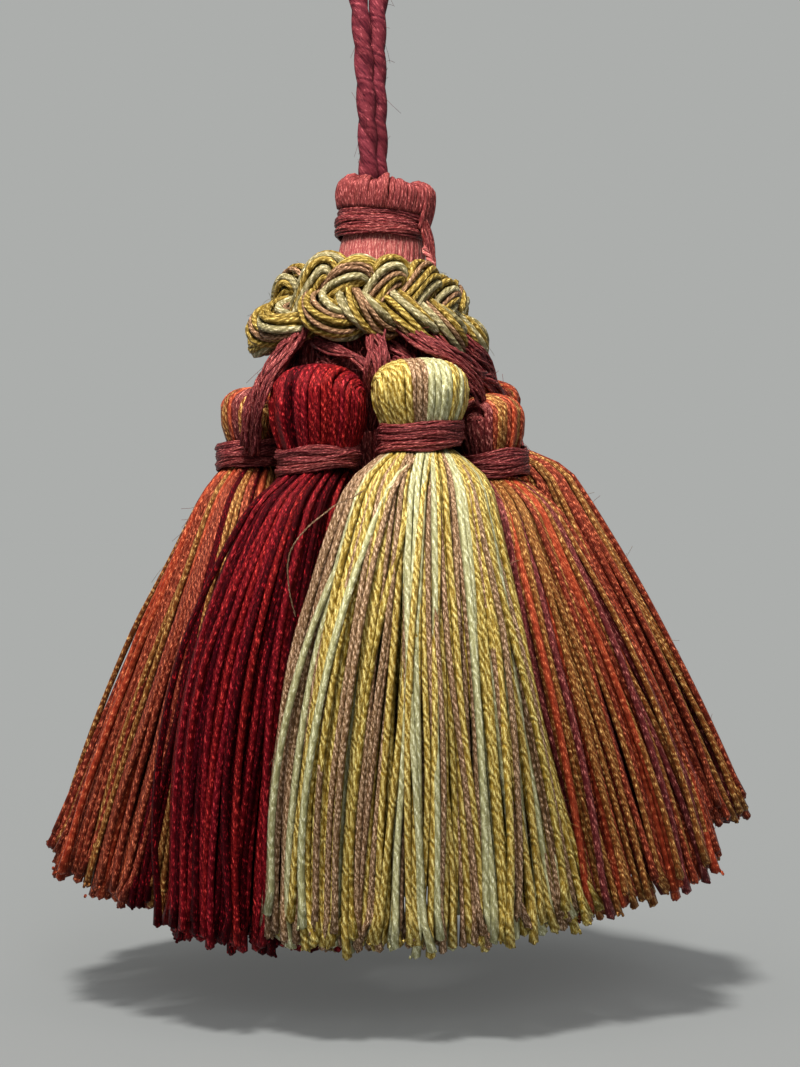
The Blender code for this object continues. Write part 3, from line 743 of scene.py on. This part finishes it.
# Mauve rayon, thick and soft: long strokes of a dusky rose-brown.
mauve = yarn("mauve rayon yarn", "#3A1014", "#54191E", "#662628", "#E08C84", bead=1.4, ply=0.12,
             glints=0.3, painted_drops=0.06, spread=0.05)

YARNS = {
    "G": (gold, 0.41),
    "C": (cream, 0.41),
    "B": (brown, 0.34),
    "R": (crimson, 0.40),
    "W": (wine, 0.39),
    "O": (orange, 0.42),
    "Z": (bronze, 0.35),
    "U": (rust, 0.38),
    "M": (mauve, 0.41),
}
PALETTE = [made for made, radius in YARNS.values()]
MIXES = {
    "gold": "GGGGCCCBBBBG",
    "red": "RRRWWRWRWW",
    "rust": "OOOZZUUUMZOUU",
}
# The colour order across the outside of each skirt that faces forward, from its left edge. A
# capital is a yarn that lies on the surface from the neck, and a small letter one that comes out
# from under its neighbours lower down.
SKIRT_ORDER = {
    0: "ZOUOuZoOzUuOzUuUoOuUuZuOuUuWwZuUW",
    1: "WWwRwrRwRwRrWwRwRrwRwRrWwRwRrWwWW",
    2: "BbBbBBCbGgbGBGgBbBgCbCgCbCGbGgBbCgGbGgGGbCgGbGbGCB",
    3: "MZoZZmZZzUzZuOzZuMzZmUzOuZmUzOuMuU",
    4: "ZuUuZzUmUzUzuMzUoUzmZuUzUuZ",
}
# Yarns that cross the others: where each leaves the neck and reaches the hem, from -1 at the
# skirt's left edge to 1 at its right, and its colour.
CROSSINGS = {
    0: ((0.45, 0.10, "O"), (-0.2, -0.5, "Z")),
    1: ((-0.35, -0.85, "W"), (0.3, -0.05, "R")),
    2: ((0.42, -0.35, "G"), (0.05, -0.60, "C"), (0.45, 0.30, "C"), (0.75, 0.45, "B"), (0.1, -0.1, "G"),
        (0.20, -0.76, "C"), (-0.12, -0.45, "B")),
    3: ((-0.6, -0.2, "O"), (0.4, -0.1, "M")),
}
HEAD_ORDER = {
    0: "ZUOZUZZOUZZUOMZZOMUZ",
    1: "RRRRRRRWWRRRRRRRRRRR",
    2: "GGGGGGGGBBBCCCCGGCGGGGG",
    3: "MMMMUZZUOZZUOZUUZOUZ",
}
# Where a head's loops part into lobes, from -1 at its left edge to 1 at its right.
CREASES = {0: (0.25,), 1: (-0.73, -0.18, 0.62), 2: (-0.32,), 3: (-0.35,), 5: (-0.4, 0.3), 7: (0.1,)}


def hung(small):
    """The place under which a small tassel hangs, and the ways out from the ring and along it."""
    place = RING_CENTRE + on_ring(small.angle, small.ring * MM, 0.0)
    return place, on_ring(small.angle, 1.0, 0.0), on_ring(small.angle + 90.0, 1.0, 0.0)


def neck_radius(small):
    """The half-width of a small tassel where its binding squeezes it."""
    return min(NECK_RADIUS, 0.87 * small.head_half * MM)


def worn(letters):
    """The radius of the yarn of each letter, and its place in the palette."""
    radii = np.array([YARNS[letter][1] * MM for letter in letters])
    return radii, np.array([list(YARNS).index(letter) for letter in letters])


def hem_places(index, across, out):
    """Where yarns of this skirt end, seen from above: across and out run from -1 to 1."""
    left, right = HEM_EDGES[index], HEM_EDGES[index + 1]
    depth = (out + 1) / 2
    start = left[1] + (left[0] - left[1]) * depth
    end = right[1] + (right[0] - right[1]) * depth
    angle = start + (end - start) * (across + 1) / 2
    turn = np.radians(angle)
    oval = np.hypot(np.sin(turn) / HEM_HALF_WIDTH, np.cos(turn) / HEM_HALF_DEPTH)
    outer = 1 / oval + HEM_WAVE * np.sin(19 * turn)
    radius = HEM_INNER_RADIUS + (outer - HEM_INNER_RADIUS) * depth
    return HEM_CENTRE + on_ring(angle, radius, 0.0)


def rounded_square(turn):
    """A point of a rounded square of half-width 1."""
    across, out = np.cos(turn), np.sin(turn)
    power = 0.48
    return np.sign(across) * np.abs(across) ** power, np.sign(out) * np.abs(out) ** power


def evenly_round(index, ring, spacing):
    """Turns round a skirt's outline at the hem, evenly spaced in real distance."""
    turn = np.linspace(0.0, math.tau, 1441)
    across, out = rounded_square(turn)
    places = hem_places(index, across * ring, out * ring)
    run = run_along(places[None])[0]
    count = int(run[-1] / spacing)
    return np.interp((np.arange(count) + 0.5) / count * run[-1], run, turn)


def make_skirt(index, small, rng):
    """The cut yarns: a ring of them round the outside, one just behind it, and some within."""
    hang, outward, sideways = hung(small)
    yarns = []
    order = SKIRT_ORDER.get(index)
    for ring, spacing in SKIRT_RINGS_MM:
        turns = evenly_round(index, ring, spacing * MM)
        across, out = rounded_square(turns)
        front = (turns > SKIRT_FRONT[0]) & (turns < SKIRT_FRONT[1])
        inside = (turns > SKIRT_INSIDE[0]) & (turns < SKIRT_INSIDE[1])
        even = np.arange(1, len(turns) + 1) / len(turns)
        neck_turn = math.radians(90.0) + math.tau * (even - np.interp(math.radians(90.0), turns, even))
        front_at = np.flatnonzero(front)[::-1].tolist()
        for k in range(len(turns)):
            if inside[k] and k % 2:
                continue
            deep = (1.0, 0.70, 0.86, 0.56)[k % 4] if ring == 1.0 else 0.8 * ring
            letter = rng.choice(list(MIXES[small.mix]))
            if order and ring == 1.0 and front[k]:
                letter = order[int(front_at.index(k) / len(front_at) * len(order))]
                deep = 1.0 if letter.isupper() else rng.choice([0.6, 0.75, 0.86])
            yarns.append((across[k] * ring, out[k] * ring, neck_turn[k], deep, ring, letter.upper(), 0.0))
    for neck_side, hem_side, letter in CROSSINGS.get(index, ()):
        yarns.append((hem_side, 1.0, math.acos(neck_side), 1.0, 1.0, letter, 1.0))
    letters = [yarn_row[5] for yarn_row in yarns]
    across, out, neck_turn, deep, rank, crossing = np.array([row[:5] + row[6:] for row in yarns]).T
    count = len(across)
    radius, choice = worn(letters)

    fall = np.linspace(0.0, 1.0, SKIRT_STEPS) ** 1.2
    top = sideways * np.cos(neck_turn)[:, None] + outward * np.sin(neck_turn)[:, None]
    top = hang + top * (neck_radius(small) * 0.94 * deep)[:, None]
    across = across + np.where(rank > 0.95, 0.012, 0.02) * rng.normal(0.0, 1.0, count)
    hem = hem_places(index, np.clip(across, -1.0, 1.0), out)
    yarn_length = MM * (small.left_yarn + (small.right_yarn - small.left_yarn) * (across + 1) / 2)
    scatter = np.where(rank == 0.93, 0.25, 0.75)
    yarn_length = yarn_length + MM * np.clip(scatter * rng.normal(-0.2, 1.0, count), -2.0, 0.9)
    reach = hem - top
    reach[:, 2] = 0.0
    drop = np.sqrt(yarn_length**2 - np.sum(reach**2, axis=1))
    shoulder = small.shoulder * np.sin(math.pi / 2 * np.minimum(1.0, fall / SHOULDER_FALL))
    fan = small.left_fan + (small.right_fan - small.left_fan) * (across[:, None] + 1) / 2
    spread = shoulder + (1 - small.shoulder) * (1 - (1 - fall) ** fan)
    paths = top[:, None] + reach[:, None] * spread[..., None]
    # To the front and back the yarns come out sooner, and then hang nearly straight down.
    sooner = SHOULDER * np.sin(math.pi / 2 * np.minimum(1.0, fall / SHOULDER_FALL))
    sooner = sooner + (1 - SHOULDER) * (1 - (1 - fall) ** 3.0)
    paths[:, :, 1] += reach[:, 1:2] * np.clip(sooner - spread, 0.0, 1.0)
    paths[:, :, 2] = small.tie_foot * MM - drop[:, None] * fall

    # Yarns wander from the straight fall, those side by side partly together, and a few stray.
    side_way = unit(np.cross(reach + (0.0, 0.0, -1e-6), (0.0, 0.0, 1.0)))
    out_way = unit(reach)
    loose = np.minimum(1.0, fall * 2.5)
    own_phase = rng.uniform(0.0, math.tau, (count, 4))
    own_size = rng.normal(0.0, 1.0, (count, 4))
    sway = WANDER_MM * own_size[:, :1] * np.sin(4.0 * fall + own_phase[:, :1])
    sway = sway + KINK_MM * own_size[:, 1:2] * np.sin(12.0 * fall + own_phase[:, 1:2])
    sway = sway + TOGETHER_MM * np.sin(2.6 * fall + 5.0 * neck_turn[:, None])
    lift = LIFT_MM * own_size[:, 2:3] * np.sin(6.0 * fall + own_phase[:, 2:3])
    stray = (rng.random(count) < STRAY_SHARE) & (rank == 1.0) & (crossing == 0.0)
    sway = sway + np.where(stray, rng.choice([-1.0, 1.0], count) * STRAY_MM, 0.0)[:, None] * fall**2
    proud = STRAY_PROUD_MM * stray + CROSSING_PROUD_MM * crossing
    lift = lift + proud[:, None] * np.sin(math.pi * np.minimum(1, fall * 1.1)) ** 0.5
    # The cut ends splay a little where the twist lets go.
    splay = np.clip((fall - SPLAY_FROM) / (1.0 - SPLAY_FROM), 0.0, 1.0) ** 1.5
    sway = sway + 0.5 * own_size[:, 3:] * splay
    lift = lift + 0.3 * np.abs(own_size[:, 3:]) * splay
    paths = paths + (sway * loose * MM)[..., None] * side_way[:, None]
    paths = paths + (lift * loose * MM)[..., None] * out_way[:, None]

    # The binding squeezes the yarns, and they fill out again below it.
    fill = NECK_SQUEEZE + (1.0 - NECK_SQUEEZE) * np.minimum(1.0, fall / 0.16)
    radii = radius[:, None] * fill * (1.0 + 0.03 * np.sin(23.0 * fall + own_phase[:, :1]))
    radii = radii * (1.0 + 0.35 * splay)
    faces = out_way[:, None] + (0.0, 0.0, 0.25)
    made = strands(f"small_{index + 1}_skirt", paths, faces, radii, 5, PALETTE, choice, seed=20 + index)

    # The outer yarns carry a fine fuzz, and their cut ends come apart in short tufts.
    outside = np.flatnonzero((rank == 1.0) & (out > -0.5))
    outer = (paths[outside], out_way[outside][:, None], radii[outside])
    hairs, hair_from = loose_fibres(*outer, HAIRS, 3, SKIRT_STEPS - 1, rng)
    ends = np.repeat(outside, TUFTS_AN_END)
    tip = radii[ends, -1][:, None] * 0.45 * rng.normal(0.0, 1.0, (len(ends), 3)) * (1.0, 1.0, 0.3)
    flare = unit(paths[ends, -1] - paths[ends, -2]) + 0.2 * rng.normal(0.0, 1.0, (len(ends), 3))
    share = np.linspace(-0.5, 1.0, 4)[None, :, None]
    size = rng.uniform(*TUFT_LENGTH_MM, (len(ends), 1, 1)) * MM
    tufts = (paths[ends, -1] + tip)[:, None] + size * flare[:, None] * share
    hairs = np.concatenate([hairs, tufts])
    thin = np.repeat((FIBRE_RADIUS, TUFT_RADIUS), (HAIRS, len(ends)))[:, None]
    hair_choice = np.concatenate([choice[outside][hair_from], choice[ends]])
    name = f"small_{index + 1}_fuzz"
    fuzz = strands(name, hairs, FRONT, thin, 3, PALETTE, hair_choice, seed=120 + index)
    return made, fuzz


def make_head(index, small, rng):
    """The fold: loops of yarn that rise out of the binding, go over the top and down behind."""
    hang, outward, sideways = hung(small)
    order = HEAD_ORDER.get(index)
    half = (small.head_half - 0.38) * MM
    head_top = (small.head_top - 0.4) * MM
    height = head_top - small.tie_top * MM
    made, letters = [], []
    for layer, loops in HEAD_LAYERS:
        bearing = np.radians(-90.0 + 180.0 * (np.arange(loops) + 0.5) / loops + rng.normal(0, 1.0, loops))
        swell = layer * (1.0 + 0.025 * rng.normal(0.0, 1.0, loops))
        # Loops near a crease sink into it, and the lobes between stand full.
        for crease in CREASES.get(index, ()):
            apart = np.sin(bearing) - crease
            swell = swell * (1.0 - 0.11 * np.exp(-((apart / 0.10) ** 2)))
        side, front = (np.sin(bearing) * swell)[:, None], (np.cos(bearing) * swell)[:, None]
        up = np.linspace(1.10, 0.52, 8)
        barrel = np.interp(up, *zip(*HEAD_ROWS))
        over = np.radians(np.linspace(4.0, 176.0, 15))
        s = np.concatenate([side * barrel, side + 0.0 * over, side * barrel[::-1]], axis=1)
        o = np.concatenate([front * barrel, front * np.cos(over), -front * barrel[::-1]], axis=1)
        away = np.clip(np.hypot(s[:, 8:23], o[:, 8:23]) / layer, 0.0, 1.0)
        dome = (1.0 - away**2.3) ** (1 / 2.3)
        z = np.empty_like(s)
        z[:, :8] = head_top - height * up
        z[:, 23:] = head_top - height * up[::-1]
        z[:, 8:23] = head_top - height * 0.45 * (1 - dome * layer)
        loop = hang + sideways * (s * half)[..., None] + outward * (o * half * HEAD_DEPTH)[..., None]
        loop[..., 2] = z
        made.append(loop)
        for k in range(loops):
            if order:
                letters.append(order[int(k / loops * len(order))])
            else:
                letters.append(rng.choice(list(MIXES[small.mix])))
    paths = np.concatenate(made)
    faces = paths - hang - (0.0, 0.0, head_top - 0.6 * height)
    radius, choice = worn(letters)
    radius = HEAD_YARN_SHARE * radius[:, None]
    return strands(f"small_{index + 1}_head", paths, faces, radius, 5, PALETTE, choice, seed=40 + index)


def make_binding(index, small, rng):
    """Fine rose floss wound round the neck, a little unevenly."""
    height = (small.tie_top - small.tie_foot) * MM
    turns = wound(height - 0.3 * MM, neck_radius(small) + 0.48 * MM, 0.18 * MM, rng)
    faces = turns * (1.0, 1.0, 0.0)
    turns = turns + hung(small)[0] + (0.0, 0.0, (small.tie_top + small.tie_foot) / 2 * MM)
    return strands(f"small_{index + 1}_tie", turns, faces, BINDING_STRAND, 6, [rose_thread], seed=60 + index)


# The rose threads that hold the small tassels up also run in loose hanks across and between the
# heads. Each hank is a route in millimetres and half its width.
HANKS = {
    0: (
        (1.0, (-6.6, -7.5, -52.6), (-7.47, -10.0, -54.99), (-9.18, -13.0, -57.22), (-10.62, -14.3, -59.5),
         (-11.7, -14.3, -61.89), (-12.24, -13.2, -64.52), (-12.6, -11.6, -67.6)),
        (0.9, (-7.6, -6.6, -52.6), (-8.4, -9.6, -55.1), (-10.4, -12.2, -58.1), (-11.9, -12.9, -60.6),
         (-12.9, -12.6, -63.4), (-13.3, -11.6, -66.6)),
    ),
    2: (
        (1.1, (0.4, -9.0, -52.4), (0.85, -12.9, -55.3), (1.31, -15.4, -57.2), (0.89, -16.2, -59.33),
         (0.31, -14.4, -61.31), (0.07, -12.4, -65.0)),
        (0.7, (-5.8, -9.8, -55.2), (-2.85, -12.9, -56.5), (-0.86, -14.6, -57.5), (0.66, -15.5, -59.1),
         (1.0, -14.0, -61.5)),
    ),
    3: (
        (1.0, (3.7, -10.5, -53.2), (6.2, -13.6, -55.6), (8.7, -14.0, -57.2), (11.06, -13.3, -59.25),
         (12.44, -12.0, -61.3), (13.17, -10.4, -63.8), (13.4, -9.4, -66.4)),
        (1.5, (6.4, -8.2, -53.6), (8.6, -11.2, -56.0), (11.2, -10.4, -57.6), (13.6, -7.0, -59.4),
         (14.6, -4.0, -61.6)),
    ),
    4: (
        (1.3, (9.4, -5.6, -53.6), (11.6, -6.2, -55.6), (13.2, -4.6, -57.2), (14.2, -3.4, -59.6),
         (15.4, -3.2, -62.4), (16.6, -3.6, -65.2), (17.6, -4.4, -68.0)),
    ),
}


def make_threads(index, small, rng):
    """The hank of rose threads that comes from under the collar and holds the fold up."""
    end = hung(small)[0] + (0.0, 0.0, (small.head_top - 1.4) * MM)
    end = end - on_ring(small.angle, 0.3 * small.head_half * MM, 0.0)
    under = BELL_CENTRE + on_ring(small.angle, 6.6 * MM, -51.4 * MM)
    bend = BELL_CENTRE + on_ring(small.angle, 9.3 * MM, -55.6 * MM)
    paths, faces = [], []
    share = np.linspace(0.0, 1.0, HANK_STEPS)
    routes = [(1.7, under / MM, bend / MM, end / MM)] + list(HANKS.get(index, ()))
    for half, *places in routes:
        route = through(places, 0.25, HANK_STEPS)
        run = unit(np.gradient(route, axis=0))
        away = route - BELL_CENTRE
        away[:, 2] = 5.0 * MM
        flat = unit(np.cross(run, away))
        proud = unit(np.cross(flat, run))
        for strand in range(HANK_STRANDS):
            across, deep = rng.uniform(-1.0, 1.0, 2)
            swirl = 2.4 * share + 0.9 * np.sin(7.0 * share + rng.uniform(0.0, math.tau))
            side = across * np.cos(swirl) - 0.5 * deep * np.sin(swirl)
            out = 0.5 * across * np.sin(swirl) + deep * np.cos(swirl)
            side = side + 0.25 * np.sin(11.0 * share + rng.uniform(0.0, math.tau))
            paths.append(route + (flat * side[:, None] + proud * 0.6 * out[:, None]) * half * MM)
            faces.append(proud)
    # More of them hang straight down behind the heads, and fill the middle.
    for strand in range(BACK_THREADS):
        angle = small.angle + 5.4 * (strand - (BACK_THREADS - 1) / 2) + rng.normal(0.0, 1.0)
        bulk = np.interp(share, [0.0, 0.2, 1.0], [7.4, 8.8, 8.8]) + rng.normal(0.0, 0.25)
        paths.append(BELL_CENTRE + on_ring(angle, bulk * MM, (-52.5 - 18.5 * share) * MM))
        faces.append(on_ring(angle + 0.0 * share, 1.0, 0.0))
    radii = rng.uniform(0.14, 0.26, (len(paths), 1)) * MM
    radii[-BACK_THREADS:] = BACK_THREAD_RADIUS
    paths, faces = np.array(paths), np.array(faces)
    name = f"small_{index + 1}_threads"
    made = strands(f"{name}_rose", paths, faces, radii, 6, [rose_thread], seed=80 + index)
    # Their fibres catch on the heads and cross them.
    front = slice(-BACK_THREADS)
    hairs, _ = loose_fibres(paths[front], faces[front], 0.3 * MM, THREAD_HAIRS, 2, 17, rng)
    thin = THREAD_FIBRE_RADIUS
    fuzz = strands(f"{name}_fuzz", hairs, FRONT, thin, 3, [rose_thread], seed=90 + index)
    return made, fuzz


for index, small in enumerate(SMALLS_MM):
    rng = np.random.default_rng(100 + index)
    node = f"small_{index + 1}"
    skirt, fuzz = make_skirt(index, small, rng)
    for piece in (skirt, fuzz, make_head(index, small, rng)):
        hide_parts(node + "_yarns")
    tie = make_binding(index, small, rng)
    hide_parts(node + "_binding")
    for piece in make_threads(index, small, rng):
        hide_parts(node + "_threads")

# One fine brown thread has sprung out of the gold skirt in a wide loop over the red one.
LOOP_MM = ((0.8, -22.6, -71.2), (-1.2, -25.0, -72.6), (-2.9, -26.4, -73.4), (-4.3, -27.6, -74.5),
           (-5.8, -28.5, -75.8), (-7.2, -29.0, -77.6), (-7.7, -29.1, -79.25), (-7.7, -28.9, -81.0),
           (-7.5, -28.6, -82.7), (-7.0, -28.2, -84.8))
LOOP_OFFSET = 0.045 * MM
LOOP_LAY = 1.2 * MM
LOOP_RADIUS = 0.055 * MM
sprung = twisted(through(LOOP_MM, 0.3), LOOP_OFFSET, LOOP_LAY)
loop = strands("small_3_sprung_thread", sprung, FRONT, LOOP_RADIUS, 5, [brown], seed=140)
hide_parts("small_3_yarns")


# ---- Floor, light and surroundings -----------------------------------------------------------
# A plain pale floor just under the hem, one strong soft light from high at the left, a weak one
# from the right, and a pale surround of the floor's own tone.

FLOOR_Z = -128.0 * MM
SURROUND = colour("#ACAEAC")
FLOOR_GLOW = 0.2
SKY_LIGHT = 0.22
SKY_TINT = colour("#FFFCF6")


def light_from(name, left_deg, up_deg, strength, soft_deg, tint):
    """A distant soft light from the left of the front and up from level, and what it gives a floor."""
    light = bpy.data.lights.new(name, "SUN")
    light.energy = strength
    light.angle = math.radians(soft_deg)
    light.color = colour(tint)[:3]
    made = bpy.data.objects.new(name, light)
    made.rotation_euler = (math.radians(90.0 - up_deg), 0.0, math.radians(-left_deg))
    bpy.context.scene.collection.objects.link(made)
    return np.array(colour(tint)) * strength * math.sin(math.radians(up_deg)) / math.pi


on_floor = light_from("key_light", 18.0, 70.0, 1.9, 12.0, "#FFFAF0")
on_floor = on_floor + light_from("front_light", -12.0, 30.0, 0.38, 24.0, "#FFFCF8")
on_floor = on_floor + SKY_LIGHT * np.array(SKY_TINT)

# A small soft lamp just above and in front lights the heads most and the hems least.
lamp = bpy.data.lights.new("top_lamp", "AREA")
lamp.size = 50 * MM
lamp.energy = 0.42
lamp.color = colour("#FFF8EC")[:3]
top_lamp = bpy.data.objects.new("top_lamp", lamp)
top_lamp.location = np.array((-20.0, -80.0, 60.0)) * MM
top_lamp.rotation_euler = (math.radians(33.0), 0.0, math.radians(-14.0))
top_lamp.visible_camera = False
bpy.context.scene.collection.objects.link(top_lamp)

bpy.ops.mesh.primitive_circle_add(vertices=96, radius=12.0, fill_type="NGON", location=(0.0, 0.0, FLOOR_Z))
floor = bpy.context.object
floor.name = "floor"
matt = bpy.data.materials.new("matt pale paint")
matt.use_nodes = True
tree = matt.node_tree
tree.nodes.remove(tree.nodes["Principled BSDF"])
# The paint's tone is the one that the lights bring to the tone of the surround.
paint = (1.0 - FLOOR_GLOW) * np.array(SURROUND) / on_floor
diffuse = add(tree, "BsdfDiffuse", (*paint[:3], 1.0))
glow = add(tree, "Emission", SURROUND, FLOOR_GLOW)
both = add(tree, "AddShader", diffuse, glow)
tree.links.new(both, tree.nodes["Material Output"].inputs["Surface"])
floor.data.materials.append(matt)

# The lamp lights the tassel only, so that it leaves no pool of light on the floor.
lamp_lights = bpy.data.collections.new("lit by the top lamp")
lamp_lights.objects.link(floor)
lamp_lights.collection_objects[0].light_linking.link_state = "EXCLUDE"
top_lamp.light_linking.receiver_collection = lamp_lights

world = bpy.data.worlds.new("surround")
world.use_nodes = True
tree = world.node_tree
seen = tree.nodes["Background"]
seen.inputs["Color"].default_value = SURROUND
sky = add(tree, "Background", SKY_TINT, SKY_LIGHT)
either = add(tree, "MixShader", add(tree, "LightPath"), sky, seen.outputs[0])
tree.links.new(either, tree.nodes["World Output"].inputs["Surface"])
bpy.context.scene.world = world
bpy.context.scene.view_settings.view_transform = "Standard"
